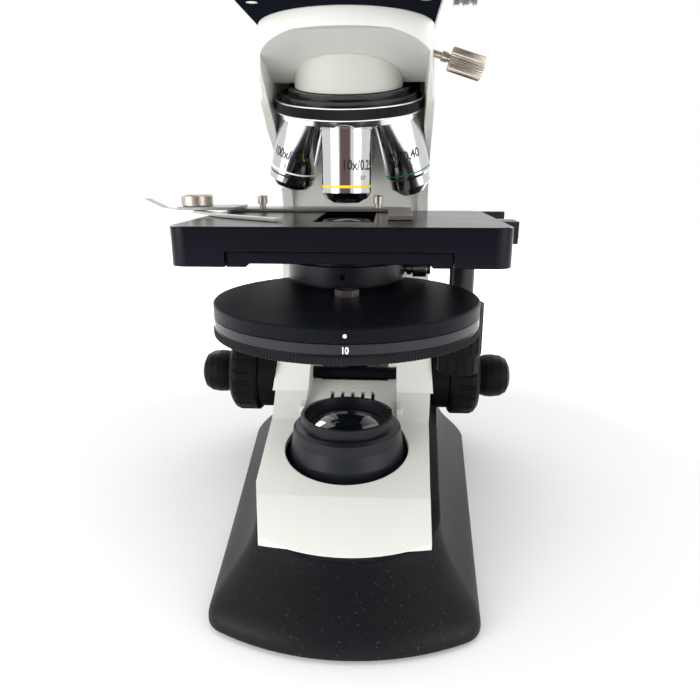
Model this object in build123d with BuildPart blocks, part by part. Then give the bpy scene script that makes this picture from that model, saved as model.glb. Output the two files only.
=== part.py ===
from build123d import *
import os

# Frame: Z is the optical axis, z = 0 is the table, the arm stands at +Y, the user sits at -Y.

# Fits
shaft_play = 0.1
slide_play = 0.3
swing_play = 0.8

# Base
foot_height = 2.5
foot_radius = 8.0
foot_places = [(-46, -82), (46, -82), (-60, 102), (60, 102)]
skirt_back_y = 124.0
skirt_levels = [  # height, front y, half width at the front, half width at the back
    (foot_height, -116.0, 59.7, 78.0),
    (9.0, -113.5, 58.4, 73.0),
    (17.0, -101.5, 51.7, 64.5),
    (30.0, -83.5, 44.5, 58.3),
    (52.0, -68.0, 42.5, 54.0),
]
skirt_front_shift = 4.3
skirt_back_shift = 1.2
skirt_corner = 14.0
skirt_bow = 17.0
skirt_step = 0.4
cover_wall = 3.0
cover_bottom_z = 5.0
cover_front_y = -83.0
cover_front_z = 28.0
cover_crease_y = -48.0
cover_crease_z = 38.0
cover_slope = 0.16
cover_front_half = 40.0
cover_front_shift = 3.5
cover_front_bow = 9.0
leg_start_y = 22.0
leg_parting_y = 47.0
arm_foot_z = 58.0
lamp_hole_radius = 34.4
lamp_hole_y = -4.5
housing_radius = 33.0
vent_count = 5
vent_pitch = 6.5
vent_length = 13.0
vent_width = 2.2
vent_y = 52.0
plate_thickness = 2.5
mirror_z = foot_height + plate_thickness
board_z = 9.0

# Rear panel
port_z = 22.0
port_half = 10.0
board_front_y = 80.0
board_back_y = 108.0
board_thickness = 1.6
board_posts = [(-36, 84), (36, 84), (-36, 104), (36, 104)]
inlet_x = -32.0
inlet_width = 27.0
switch_x = 0.0
switch_width = 16.0
dimmer_x = 30.0
dimmer_shaft_radius = 3.0

# Arm
arm_back_y = 120.0
arm_top_z = 257.5
arm_top_half = 41.0
arm_foot_half = 51.0
arm_back_corner = 22.0
column_y = 78.0
leg_gap_half = 28.0
nose_rim_z = 250.0
cavity_half = 38.8
cavity_y = 21.0
cavity_top_z = 249.0
soffit_front_y = -35.0
soffit_low_z = 236.0
throat_low_z = 213.0
lining = 2.0

# Focus slot and drive
slot_half = 22.7
slot_back_y = 106.0
slot_low_z = 20.0
slot_top_z = 166.0
guide_half = 8.0
guide_front_y = 94.0
carriage_front_y = 85.0
carriage_back_y = 100.0
carriage_low_z = 96.0
carriage_top_z = 158.0
rack_half = 5.0
knob_y = 76.7
knob_z = 61.0
fine_shaft_radius = 2.0
coarse_shaft_radius = 4.0
hub_radius = 23.3
ring_radius = 22.0
ring_bore_radius = 7.0
coarse_knob_radius = 25.8
coarse_knob_in_x = 62.5
coarse_knob_out_x = 82.1
fine_knob_radius = 14.2
fine_knob_out_x = 102.1
grip_count = 20
grip_start = 4.5

# Stage
stage_top_z = 170.0
stage_half_x = 75.0
stage_half_y = 55.0
stage_height = 17.4
stage_slab = 10.7
stage_corner = 8.0
stage_channel_half = 49.8
stage_wall = 4.0
opening_half_x = 14.4
opening_front_y = 26.0 - stage_half_y
opening_back_y = stage_half_y - 6.0
lower_plate_thickness = 5.2
lower_plate_front_y = -52.5
lower_plate_back_y = 52.0
guide_foot = 8.5
rail_start_x = -60.0
rail_end_x = 89.0
rail_depth = 6.0
holder_thickness = 1.5
holder_front_y = 40.0
clip_x = 21.0
clip_width = 12.0
clip_front_y = -19.5
pivot_x = -86.0
pivot_y = 30.0
drive_x = 62.5
drive_y = 25.0
drive_tube_radius = 6.8
drive_low_z = 121.5
upper_knob_radius = 13.2
upper_knob_height = 29.0
lower_knob_radius = 11.8
lower_knob_height = 10.5
x_shaft_radius = 2.5
y_shaft_bore_radius = 3.1

# Nosepiece
nose_tilt = 15.0
apex_z = 304.8
shoulder_distance = 92.7
turret_radius = 37.5
turret_start = 77.3
turret_end = 83.3
dome_radius = 27.5
dome_end = 72.8
objective_count = 4
barrel_radius = 12.3
thread_radius = 9.0
thread_length = 4.0
light_radius = 9.5
dome_light_radius = 4.5

# Condenser and phase turret
sleeve_radius = 26.0
carrier_radius = 30.0
carrier_low_z = 139.9
carrier_top_z = 148.8
condenser_slide_y = 52.0
condenser_knob_y = condenser_slide_y + 13.5
condenser_knob_z = 120.0
condenser_knob_radius = 6.0
disc_radius = 59.7
port_margin = 3.1
casing_top_z = 138.2
casing_thickness = 5.9
phase_thickness = 8.1
phase_port_radius = 13.0
port_circle = disc_radius - phase_port_radius - port_margin
disc_x = 3.0
disc_y = -(port_circle ** 2 - disc_x ** 2) ** 0.5

# Head
head_plate_thickness = 4.0
dovetail_radius = 20.0
dovetail_depth = 6.0
head_half = 43.0
head_top_z = 318.0
face_tilt = 30.0
hinge_arm = 37.5
eye_spacing = 64.0
wing_radius = 19.5
wing_depth = 20.0
tube_radius = 14.5
tube_length = 30.0
ocular_radius = 11.6
port_radius = 19.0
port_height = 32.0
clamp_axis_z = 258.86


def axis_plane(origin, direction):
    """Plane through an axis: local x runs out from the axis, local y runs along it."""
    along = Vector(*direction).normalized()
    out = Plane(origin=origin, z_dir=along).x_dir
    return Plane(origin=origin, x_dir=out, z_dir=out.cross(along))


def turn(origin, direction, outline, mode=Mode.ADD):
    """Solid of revolution; the outline is (radius, distance along the axis)."""
    plane = axis_plane(origin, direction)
    with BuildSketch(plane) as section:
        with BuildLine():
            Polyline(*outline, close=True)
        make_face()
    revolve(section.sketch, axis=Axis(plane.origin, plane.y_dir), mode=mode)


def sleeve(origin, direction, inner, outer, start, end, mode=Mode.ADD):
    """Round bar or tube along an axis, from one distance to another."""
    turn(origin, direction, [(inner, start), (outer, start), (outer, end), (inner, end)], mode)


def block(low, high, mode=Mode.ADD):
    """Box from its lowest to its highest corner."""
    middle = [(a + b) / 2 for a, b in zip(low, high)]
    with Locations(tuple(middle)):
        Box(*[b - a for a, b in zip(low, high)], mode=mode)


def side_prism(points, half_width, mode=Mode.ADD):
    """Prism with a (y, z) outline, equally wide to both sides."""
    with BuildSketch(Plane.YZ) as outline:
        with BuildLine():
            Polyline(*points, close=True)
        make_face()
    extrude(outline.sketch, amount=half_width, both=True, mode=mode)


def slab(corners, low, high, mode=Mode.ADD, corner_radius=0):
    """Plate with an outline seen from above, between two heights."""
    with BuildSketch(Plane.XY.offset(low)) as outline:
        with BuildLine():
            Polyline(*corners, close=True)
        make_face()
        if corner_radius:
            fillet(outline.vertices(), corner_radius)
    extrude(outline.sketch, amount=high - low, mode=mode)


def flutes(plane, radius, count, depth, length):
    """Lengthwise finger grooves round a knob's rim, cut along the plane's normal."""
    with BuildSketch(plane) as grooves:
        with PolarLocations(radius + depth, count):
            Circle(2 * depth)
    extrude(grooves.sketch, amount=length, mode=Mode.SUBTRACT)


def cover_top(y):
    """Height of the base cover's sloping top."""
    return cover_crease_z + cover_slope * (y - cover_crease_y)


def cover_plan(inset=0, height=0):
    """Outline of the base cover from above, shrunk by the inset."""
    corner_y = cover_front_y + cover_front_bow
    left_corner = (cover_front_shift - cover_front_half, corner_y)
    right_corner = (cover_front_shift + cover_front_half, corner_y)
    sides = [(arm_foot_half - 6.5, cover_crease_y + 10), (arm_foot_half - 4, leg_start_y),
             (arm_foot_half, leg_start_y + 48), (arm_foot_half, arm_back_y)]
    mirrored = [(-x, y) for x, y in reversed(sides)]
    with BuildSketch(Plane.XY.offset(height)) as plan:
        with BuildLine():
            ThreePointArc(left_corner, (cover_front_shift, cover_front_y), right_corner)
            Polyline(right_corner, *sides, *mirrored, left_corner)
        make_face()
        fillet(plan.vertices().group_by(Axis.Y)[-1], arm_back_corner)
        if inset:
            offset(amount=-inset, kind=Kind.INTERSECTION, mode=Mode.REPLACE)
    return plan.sketch


def cover_form(inset):
    """The base cover's outer form, or its hollow when the inset is the wall."""
    with BuildPart() as form:
        extrude(cover_plan(inset, cover_bottom_z), amount=arm_foot_z - cover_bottom_z)
        side_prism(
            [
                (cover_front_y - 5, 0),
                (cover_front_y - 5, cover_front_z - inset),
                (cover_front_y, cover_front_z - inset),
                (cover_crease_y, cover_crease_z - inset),
                (leg_start_y + inset, cover_top(leg_start_y) - inset),
                (leg_parting_y + inset, arm_foot_z - inset),
                (arm_back_y + 5, arm_foot_z - inset),
                (arm_back_y + 5, 0),
            ],
            arm_foot_half + 10,
            Mode.INTERSECT,
        )
    return form.part


up = (0, 0, 1)
right = (1, 0, 0)
back = (0, 1, 0)
apex = (0, 0, apex_z)
tilt = Vector(0, 0, -1).rotate(Axis.X, nose_tilt)
clamp_direction = (0.9537, 0, -0.3007)


def cut_rear_ports():
    """Openings in the rear wall for the inlet, the switch and the dimmer's shaft."""
    for x, width in ((inlet_x, inlet_width), (switch_x, switch_width)):
        half = width / 2 + slide_play
        block((x - half, arm_back_y - 30, port_z - port_half - slide_play),
              (x + half, skirt_back_y + 1, port_z + port_half + slide_play), Mode.SUBTRACT)
    sleeve((dimmer_x, 0, port_z), back, 0, dimmer_shaft_radius + slide_play, arm_back_y - 30,
           skirt_back_y + 1, Mode.SUBTRACT)


# Base

with BuildPart() as base_cover:
    add(cover_form(0))
    add(cover_form(cover_wall), mode=Mode.SUBTRACT)
    side_prism(
        [
            (leg_start_y, cover_top(leg_start_y)),
            (column_y, cover_top(column_y)),
            (column_y, arm_foot_z + 5),
            (leg_start_y, arm_foot_z + 5),
        ],
        leg_gap_half,
        Mode.SUBTRACT,
    )
    floor_back_y = column_y - 5.5
    side_prism(
        [
            (leg_start_y, cover_top(leg_start_y)),
            (floor_back_y, cover_top(floor_back_y)),
            (floor_back_y, cover_top(floor_back_y) - cover_wall),
            (leg_start_y, cover_top(leg_start_y) - cover_wall),
        ],
        leg_gap_half,
    )
    for side in (-1, 1):
        inner, outer = sorted((side * leg_gap_half, side * (leg_gap_half + cover_wall)))
        block((inner, leg_start_y + 6, 40), (outer, slot_back_y, arm_foot_z - cover_wall))
    block((-slot_half, floor_back_y, slot_low_z), (slot_half, slot_back_y, arm_foot_z + 1), Mode.SUBTRACT)
    sleeve((0, lamp_hole_y, 0), up, 0, lamp_hole_radius, 20, 80, Mode.SUBTRACT)
    sleeve((0, 0, 0), up, 0, housing_radius + slide_play, 20, 80, Mode.SUBTRACT)
    with BuildSketch(Plane.XY.offset(arm_foot_z)):
        with Locations((0, vent_y)):
            with GridLocations(vent_pitch, 1, vent_count, 1):
                SlotOverall(vent_length, vent_width, rotation=90)
    extrude(amount=-20, mode=Mode.SUBTRACT)
    sleeve((0, knob_y, knob_z), right, 0, coarse_shaft_radius + slide_play, -60, 60, Mode.SUBTRACT)
    cut_rear_ports()

with BuildPart() as base_skirt:
    for height, front_y, front_half, back_half in skirt_levels:
        left_corner = (skirt_front_shift - front_half, front_y + skirt_bow)
        right_corner = (skirt_front_shift + front_half, front_y + skirt_bow)
        with BuildSketch(Plane.XY.offset(height)) as level:
            with BuildLine():
                ThreePointArc(left_corner, (skirt_front_shift, front_y), right_corner)
                Polyline(
                    right_corner,
                    (skirt_back_shift + back_half, skirt_back_y),
                    (skirt_back_shift - back_half, skirt_back_y),
                    left_corner,
                )
            make_face()
            fillet(level.vertices(), skirt_corner)
    loft()
    side_prism(
        [
            (-130, 0),
            (-130, cover_front_z - 3),
            (cover_front_y, cover_front_z - skirt_step),
            (cover_crease_y, cover_crease_z - skirt_step),
            (leg_start_y, cover_top(leg_start_y) - skirt_step),
            (skirt_back_y + 5, cover_top(leg_start_y) - 4),
            (skirt_back_y + 5, 0),
        ],
        100,
        Mode.INTERSECT,
    )
    extrude(cover_plan(), amount=80, mode=Mode.SUBTRACT)
    sleeve((0, knob_y, knob_z), right, 0, hub_radius + slide_play, -80, 80, Mode.SUBTRACT)
    cut_rear_ports()

with BuildPart() as bottom_plate:
    extrude(cover_plan(0, foot_height), amount=plate_thickness)
    for x, y in board_posts:
        sleeve((x, y, 0), up, 0, 3, foot_height, board_z)

with BuildPart() as rubber_feet:
    for x, y in foot_places:
        turn((x, y, 0), up, [(0, 0), (foot_radius - 1, 0), (foot_radius, 1), (foot_radius, foot_height),
                             (0, foot_height)])

# Illuminator

with BuildPart() as collector_housing:
    turn(
        (0, 0, 0),
        up,
        [
            (20.0, 30.0), (housing_radius, 34.0), (32.4, 42.0), (30.6, 50.0), (30.0, 55.8), (28.2, 57.6),
            (25.8, 57.8), (25.8, 63.0), (23.8, 63.0), (23.2, 57.0), (21.0, 56.0),
        ],
    )
    block((16, -7, 61.2), (30, 7, 64), Mode.SUBTRACT)

with BuildPart() as field_lens:
    turn((0, 0, 0), up, [(0, 52.0), (20.8, 52.0), (20.8, 56.4), (17.0, 58.9), (11.0, 60.8), (5.0, 61.7),
                         (0, 61.9)])

# Arm

with BuildPart() as arm:
    with BuildSketch(Plane.YZ):
        with BuildLine():
            Spline((leg_parting_y, arm_foot_z), (63, 74), (74, 98), (column_y, 124),
                   tangents=((1, 0.9), (0, 1)))
            Line((column_y, 124), (column_y, 160))
            Spline((column_y, 160), (66, 185), (45, 201), (22, throat_low_z), tangents=((0, 1), (-1, 0.45)))
            Polyline((22, throat_low_z), (13, 219), (4, 225), (-7, 234), (-12, 238),
                     (soffit_front_y, nose_rim_z - 2), (-50, nose_rim_z), (-50, arm_top_z),
                     (arm_back_y - 32, arm_top_z))
            RadiusArc((arm_back_y - 32, arm_top_z), (arm_back_y - 2, arm_top_z - 34), 34)
            Polyline((arm_back_y - 2, arm_top_z - 34), (arm_back_y, arm_foot_z), (leg_parting_y, arm_foot_z))
        make_face()
    extrude(amount=arm_foot_half + 5, both=True)
    with BuildSketch(Plane.XZ.offset(-arm_back_y - 5)):
        with BuildLine():
            Polyline(
                (-arm_foot_half, arm_foot_z), (arm_foot_half, arm_foot_z), (arm_top_half, arm_top_z),
                (-arm_top_half, arm_top_z), close=True,
            )
        make_face()
    extrude(amount=250, mode=Mode.INTERSECT)
    with BuildSketch(Plane.XY.offset(arm_foot_z)) as arm_plan:
        with BuildLine():
            ThreePointArc((-arm_top_half, 0), (0, -arm_top_half), (arm_top_half, 0))
            Polyline(
                (arm_top_half, 0), (arm_foot_half + 1, 25), (arm_foot_half + 1, arm_back_y),
                (-arm_foot_half - 1, arm_back_y), (-arm_foot_half - 1, 25), (-arm_top_half, 0),
            )
        make_face()
        fillet(arm_plan.vertices().group_by(Axis.Y)[-1], arm_back_corner)
    extrude(amount=arm_top_z - arm_foot_z, mode=Mode.INTERSECT)
    block((-leg_gap_half, 30, arm_foot_z - 1), (leg_gap_half, column_y, 160), Mode.SUBTRACT)
    block((-slot_half, column_y - 1, arm_foot_z - 1), (slot_half, slot_back_y, slot_top_z), Mode.SUBTRACT)
    side_prism(
        [
            (-45, 150), (-45, nose_rim_z), (soffit_front_y, nose_rim_z), (cavity_y, soffit_low_z),
            (cavity_y, cavity_top_z), (column_y + lining, cavity_top_z), (column_y + lining, throat_low_z),
            (column_y, throat_low_z), (column_y, 150),
        ],
        cavity_half,
        Mode.SUBTRACT,
    )
    sleeve((0, 0, 0), up, 0, dovetail_radius + 1, arm_top_z - dovetail_depth - 1, arm_top_z + 1,
           Mode.SUBTRACT)
    sleeve((0, 0, 0), up, 0, 10, 230, arm_top_z, Mode.SUBTRACT)
    swing = [(0, 88), (turret_radius + swing_play, 74), (39.2, 96), (45.4, 119), (45.4, 124), (38, 130),
             (0, 133)]
    turn(apex, tuple(tilt), swing, Mode.SUBTRACT)
    sleeve((0, 0, clamp_axis_z), clamp_direction, 0, 1.7, dovetail_radius - 1, arm_top_half + 11,
           Mode.SUBTRACT)
    sleeve((0, knob_y, knob_z), right, 0, coarse_shaft_radius + slide_play, -60, 60, Mode.SUBTRACT)

with BuildPart() as throat_lining:
    side_prism(
        [
            (cavity_y, cavity_top_z), (column_y + lining, cavity_top_z), (column_y + lining, throat_low_z),
            (column_y, throat_low_z), (column_y, cavity_top_z - lining), (cavity_y, cavity_top_z - lining),
        ],
        cavity_half,
    )

# Focus drive

with BuildPart() as focus_guide:
    block((-guide_half, guide_front_y, 30), (guide_half, slot_back_y, slot_top_z))

with BuildPart() as focus_carriage:
    block((-slot_half + slide_play, carriage_front_y, carriage_low_z),
          (slot_half - slide_play, carriage_back_y, carriage_top_z))
    block((-guide_half - slide_play, guide_front_y - slide_play, carriage_low_z - 1),
          (guide_half + slide_play, carriage_back_y + 1, carriage_top_z + 1), Mode.SUBTRACT)
    rack_front_y = knob_y + coarse_shaft_radius + slide_play
    block((-rack_half, rack_front_y, knob_z - 6), (rack_half, carriage_front_y + 2, carriage_low_z + 3))

with BuildPart() as coarse_knobs:
    sleeve((0, knob_y, knob_z), right, fine_shaft_radius + shaft_play, coarse_shaft_radius,
           -coarse_knob_in_x, coarse_knob_in_x)
    for side in (-1, 1):
        turn(
            (0, knob_y, knob_z),
            (side, 0, 0),
            [
                (fine_shaft_radius + shaft_play, coarse_knob_in_x),
                (coarse_knob_radius - 1.5, coarse_knob_in_x),
                (coarse_knob_radius, coarse_knob_in_x + 1.5),
                (coarse_knob_radius, coarse_knob_out_x - 6),
                (coarse_knob_radius - 1.2, coarse_knob_out_x - 3.2),
                (coarse_knob_radius - 4.3, coarse_knob_out_x - 1),
                (coarse_knob_radius - 10, coarse_knob_out_x),
                (fine_shaft_radius + shaft_play, coarse_knob_out_x),
            ],
        )
        grip_x = side * (coarse_knob_in_x + grip_start)
        plane = Plane(origin=(grip_x, knob_y, knob_z), x_dir=(0, 1, 0), z_dir=(side, 0, 0))
        flutes(plane, coarse_knob_radius, grip_count, 0.9, coarse_knob_out_x - coarse_knob_in_x - grip_start)

with BuildPart() as fine_knobs:
    sleeve((0, knob_y, knob_z), right, 0, fine_shaft_radius, -coarse_knob_out_x - 1, coarse_knob_out_x + 1)
    for side in (-1, 1):
        turn(
            (0, knob_y, knob_z),
            (side, 0, 0),
            [
                (0, coarse_knob_out_x + slide_play),
                (fine_knob_radius - 1.6, coarse_knob_out_x + slide_play),
                (fine_knob_radius - 0.2, coarse_knob_out_x + 5),
                (fine_knob_radius, coarse_knob_out_x + 9),
                (fine_knob_radius - 0.7, fine_knob_out_x - 5.7),
                (fine_knob_radius - 2.8, fine_knob_out_x - 2),
                (fine_knob_radius - 6.7, fine_knob_out_x),
                (0, fine_knob_out_x),
            ],
        )

with BuildPart() as focus_hub:
    sleeve((0, knob_y, knob_z), (-1, 0, 0), coarse_shaft_radius + slide_play, hub_radius,
           arm_foot_half, coarse_knob_in_x - slide_play)

with BuildPart() as tension_ring:
    sleeve((0, knob_y, knob_z), right, ring_bore_radius, ring_radius,
           arm_foot_half + slide_play, coarse_knob_in_x - slide_play)

# Stage

slab_low_z = stage_top_z - stage_slab
lower_plate_top_z = slab_low_z - slide_play
lower_plate_z = lower_plate_top_z - lower_plate_thickness

with BuildPart() as stage_bracket:
    block((-slot_half + 1.2, condenser_slide_y + 9, 110),
          (slot_half - 1.2, carriage_front_y - slide_play, lower_plate_z))
    block((-34, 34, lower_plate_z - 4.2), (34, column_y - 1, lower_plate_z))
    block((-10, condenser_slide_y + 2, 100), (10, condenser_slide_y + 9, lower_plate_z))
    sleeve((0, condenser_knob_y, condenser_knob_z), (-1, 0, 0), 0, 3 + shaft_play, 8, 40, Mode.SUBTRACT)

with BuildPart() as stage_base:
    half = stage_channel_half - slide_play
    foot_z = stage_top_z - stage_height - slide_play
    with BuildSketch(Plane.XZ.offset(-lower_plate_front_y)):
        with BuildLine():
            Polyline(
                (-half, foot_z), (guide_foot - half, foot_z), (guide_foot + 1.5 - half, lower_plate_z),
                (half - guide_foot - 1.5, lower_plate_z), (half - guide_foot, foot_z), (half, foot_z),
                (half, lower_plate_top_z), (-half, lower_plate_top_z), close=True,
            )
        make_face()
    extrude(amount=lower_plate_front_y - lower_plate_back_y)
    sleeve((0, 0, 0), up, 0, sleeve_radius + 1.5, 140, 165, Mode.SUBTRACT)

with BuildPart() as stage_top:
    with BuildSketch(Plane.XY.offset(stage_top_z - stage_height)):
        RectangleRounded(2 * stage_half_x, 2 * stage_half_y, stage_corner)
    extrude(amount=stage_height)
    fillet(stage_top.faces().sort_by(Axis.Z)[-1].edges(), 0.8)
    low = stage_top_z - stage_height - 1
    block((-stage_channel_half, -stage_half_y - 1, low), (stage_channel_half, stage_half_y + 1, slab_low_z),
          Mode.SUBTRACT)
    for side in (-1, 1):
        inner, outer = sorted((side * (stage_channel_half + stage_wall), side * (stage_half_x - stage_wall)))
        block((inner, -stage_half_y + stage_wall, low), (outer, stage_half_y - stage_wall, slab_low_z),
              Mode.SUBTRACT)
    block((-opening_half_x, opening_front_y, low), (opening_half_x, opening_back_y, stage_top_z + 1),
          Mode.SUBTRACT)

with BuildPart() as x_rail:
    block((rail_start_x, stage_half_y, 165.3), (rail_end_x, stage_half_y + rail_depth, 169.4))

with BuildPart() as stage_side_block:
    block((stage_half_x, -9, 158), (stage_half_x + 10, 7, 168.8))

with BuildPart() as drive_tube:
    sleeve((drive_x, drive_y, 0), up, 4.6, drive_tube_radius, drive_low_z, slab_low_z)

with BuildPart() as y_drive_knob:
    sleeve((drive_x, drive_y, 0), up, y_shaft_bore_radius, 4.5, drive_low_z - 1, slab_low_z - 2)
    knob_top = drive_low_z - slide_play
    sleeve((drive_x, drive_y, 0), up, y_shaft_bore_radius, upper_knob_radius, knob_top - upper_knob_height,
           knob_top)
    flutes(Plane(origin=(drive_x, drive_y, knob_top - upper_knob_height + 2)), upper_knob_radius, 16, 0.7,
           upper_knob_height - 4)

with BuildPart() as x_drive_knob:
    lower_top = knob_top - upper_knob_height - slide_play
    sleeve((drive_x, drive_y, 0), up, 0, x_shaft_radius, lower_top - 1, slab_low_z - 2)
    sleeve((drive_x, drive_y, 0), up, 0, lower_knob_radius, lower_top - lower_knob_height, lower_top)
    flutes(Plane(origin=(drive_x, drive_y, lower_top - lower_knob_height + 1.5)), lower_knob_radius, 14, 0.6,
           lower_knob_height - 3)

holder_z = stage_top_z + slide_play
holder_top_z = holder_z + holder_thickness
ear_z = holder_top_z + slide_play
leg_y = stage_half_y + rail_depth + slide_play

with BuildPart() as slide_holder:
    slab([(-72, holder_front_y), (34, holder_front_y), (34, 57), (20, leg_y + 2), (-58, leg_y + 2),
          (-72, 57)],
         holder_z, holder_top_z)
    block((-56, leg_y, 162.5), (18, leg_y + 2, holder_top_z))
    block((clip_x, clip_front_y, holder_z), (clip_x + clip_width, holder_front_y + 2, holder_top_z + 0.5))
    slab([(pivot_x - 9, pivot_y - 9), (pivot_x + 22, pivot_y - 9), (-62, holder_front_y),
          (-62, holder_front_y + 9),
          (pivot_x - 3, pivot_y + 12), (pivot_x - 9, pivot_y + 6)], ear_z, ear_z + holder_thickness)
    block((-71, holder_front_y, holder_z), (-62, holder_front_y + 9, ear_z + holder_thickness))
    sleeve((pivot_x, pivot_y, 0), up, 0, 2.1, 160, 180, Mode.SUBTRACT)

with BuildPart() as holder_screws:
    for x in (-53.0, 15.0):
        turn((x, 49.5, holder_top_z), up, [(0, 0), (1.9, 0), (1.9, 2.4), (2.9, 2.4), (2.9, 6.6), (2.3, 7.1),
                                           (0, 7.1)])

with BuildPart() as slide_finger:
    with BuildSketch(Plane.XY.offset(holder_z)):
        with BuildLine():
            Polyline((-30, -29), (-62, -4), (pivot_x, pivot_y), (pivot_x - 13, pivot_y + 4))
        trace(line_width=6)
    extrude(amount=holder_thickness - 0.2)
    thumb = Plane(origin=(pivot_x - 12, pivot_y + 3.7, holder_z), x_dir=(-0.95, 0.3, 0), z_dir=(0.3, 0.95, 0))
    with BuildSketch(thumb):
        with BuildLine():
            Polyline((0, 0), (9, 0.9), (22, 5.8), (22, 7.1), (9, 2.2), (0, 1.3), close=True)
        make_face()
    extrude(amount=3, both=True)
    sleeve((pivot_x, pivot_y, 0), up, 0, 2.1, 160, 180, Mode.SUBTRACT)

with BuildPart() as finger_nut:
    sleeve((pivot_x, pivot_y, 0), up, 0, 2.0, holder_z, ear_z + holder_thickness)
    turn((pivot_x, pivot_y, ear_z + holder_thickness), up,
         [(0, 0), (8.2, 0), (8.6, 0.8), (8.6, 5.6), (7.8, 6.4),
          (0, 6.4)])

# Nosepiece


def objective_direction(index):
    """Axis of one objective; number 0 is the working place, the rest follow round the turret."""
    return tuple(Vector(0, 0, -1).rotate(Axis((0, 0, 0), tuple(tilt)), 360 / objective_count * index))


with BuildPart() as nosepiece_dome:
    sleeve(apex, tuple(tilt), 0, dome_radius, 40, dome_end)
    soffit_slope = (nose_rim_z - soffit_low_z) / (cavity_y - soffit_front_y)
    side_prism(
        [
            (-60, 200), (-60, soffit_low_z + (cavity_y + 60) * soffit_slope), (cavity_y, soffit_low_z),
            (cavity_y, cavity_top_z - lining), (column_y, cavity_top_z - lining), (column_y, 200),
        ],
        60,
        Mode.INTERSECT,
    )
    sleeve((0, 0, 0), up, 0, dome_light_radius, 200, 260, Mode.SUBTRACT)

with BuildPart() as nosepiece_turret:
    turn(
        apex,
        tuple(tilt),
        [
            (0, dome_end + slide_play), (31, dome_end + slide_play), (31, 75.2), (34.5, 75.2),
            (34.5, turret_start), (turret_radius, turret_start), (turret_radius, turret_end),
            (turret_radius - 1, turret_end), (turret_radius - 1.5, 86.2), (9, 93.4), (0, 93.8),
        ],
    )
    for index in range(objective_count):
        sleeve(apex, objective_direction(index), 0, barrel_radius + 0.7, 85, shoulder_distance)
    for index in range(objective_count):
        sleeve(apex, objective_direction(index), 0, thread_radius, 70, shoulder_distance + 1, Mode.SUBTRACT)


def objective(index, nose):
    """Outline turned about one objective's axis: thread, barrel, then the given nose."""
    start = shoulder_distance
    outline = [(3.5, start - thread_length), (thread_radius - shaft_play, start - thread_length),
               (thread_radius - shaft_play, start), (barrel_radius, start)]
    outline += [(radius, start + distance) for radius, distance in nose]
    turn(apex, objective_direction(index), outline + [(3.5, start + nose[-1][1] - 1)])


with BuildPart() as objective_10x:
    objective(0, [(barrel_radius, 29.8), (10.4, 32.6), (8.2, 33.6), (6.5, 34.7)])

with BuildPart() as objective_20x:
    objective(1, [(barrel_radius, 31.5), (10.2, 34.3), (7.4, 35.4), (6.0, 36.4)])

with BuildPart() as objective_40x:
    objective(2, [(barrel_radius, 29.5), (10.6, 31.0), (10.2, 35.0), (6.2, 38.6), (4.6, 39.0)])

with BuildPart() as objective_100x:
    objective(3, [(barrel_radius, 28.0), (11.0, 29.5), (10.8, 34.5), (6.4, 39.0), (4.6, 39.5)])

# Condenser and phase turret

with BuildPart() as condenser_carrier:
    block((-13, 20, carrier_low_z), (13, condenser_slide_y - 3, carrier_top_z))
    block((-16, condenser_slide_y - 6, 104), (16, condenser_slide_y + 8.5, carrier_top_z))
    block((-10 - slide_play, condenser_slide_y + 2 - slide_play, 100), (10 + slide_play, 70, 160),
          Mode.SUBTRACT)
    sleeve((0, 0, 0), up, 0, carrier_radius, carrier_low_z, carrier_top_z)
    sleeve((0, 0, 0), up, 0, sleeve_radius + shaft_play, 130, 160, Mode.SUBTRACT)
    sleeve((0, 0, 144.3), right, 0, 2.0, 20, 34, Mode.SUBTRACT)
    sleeve((0, 0, 144.3), (0, -1, 0), 0, 1.3, 20, 34, Mode.SUBTRACT)

with BuildPart() as condenser_barrel:
    turn(
        (0, 0, 0),
        up,
        [
            (10.3, casing_top_z), (sleeve_radius, casing_top_z), (sleeve_radius, 150.6), (24.4, 152.6),
            (19.0, 153.4), (13.0, 157.4), (12.5, 168.0), (11.6, 168.8), (10.3, 168.8),
        ],
    )

with BuildPart() as condenser_lens:
    turn((0, 0, 0), up, [(0, 158), (10.2, 158), (10.2, 167.4), (6.5, 168.7), (0, 169.2)])

with BuildPart() as condenser_clamp_screw:
    turn(
        (0, 0, 144.3),
        right,
        [(0, 26.4), (1.9, 26.4), (1.9, 31.0), (3.2, 31.0), (3.2, 33.4), (2.4, 33.4), (2.4, 34.2), (4.3, 34.2),
         (4.3, 41.0), (3.0, 41.0), (3.0, 43.2), (0, 43.2)],
    )

with BuildPart() as condenser_knob:
    knob_start = slot_half - 0.4
    turn(
        (0, condenser_knob_y, condenser_knob_z),
        (-1, 0, 0),
        [(0, 9), (3, 9), (3, knob_start), (condenser_knob_radius - 0.5, knob_start),
         (condenser_knob_radius, knob_start + 1), (condenser_knob_radius, knob_start + 12.7),
         (condenser_knob_radius - 0.8, knob_start + 13.7), (0, knob_start + 13.7)],
    )

disc_centre = (disc_x, disc_y, 0)
casing_low_z = casing_top_z - casing_thickness
phase_top_z = casing_low_z - slide_play
phase_low_z = phase_top_z - phase_thickness

with BuildPart() as turret_casing:
    turn(disc_centre, up,
         [(3.1, casing_low_z), (disc_radius, casing_low_z), (disc_radius, casing_top_z - 0.6),
          (disc_radius - 0.6, casing_top_z), (3.1, casing_top_z)])
    sleeve((0, 0, 0), up, 0, phase_port_radius, 120, 140, Mode.SUBTRACT)

phase_port = Vector(-disc_x, -disc_y).normalized() * port_circle
phase_ports = [Vector(disc_x, disc_y) + phase_port.rotate(Axis.Z, 72 * index) for index in range(5)]

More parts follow.
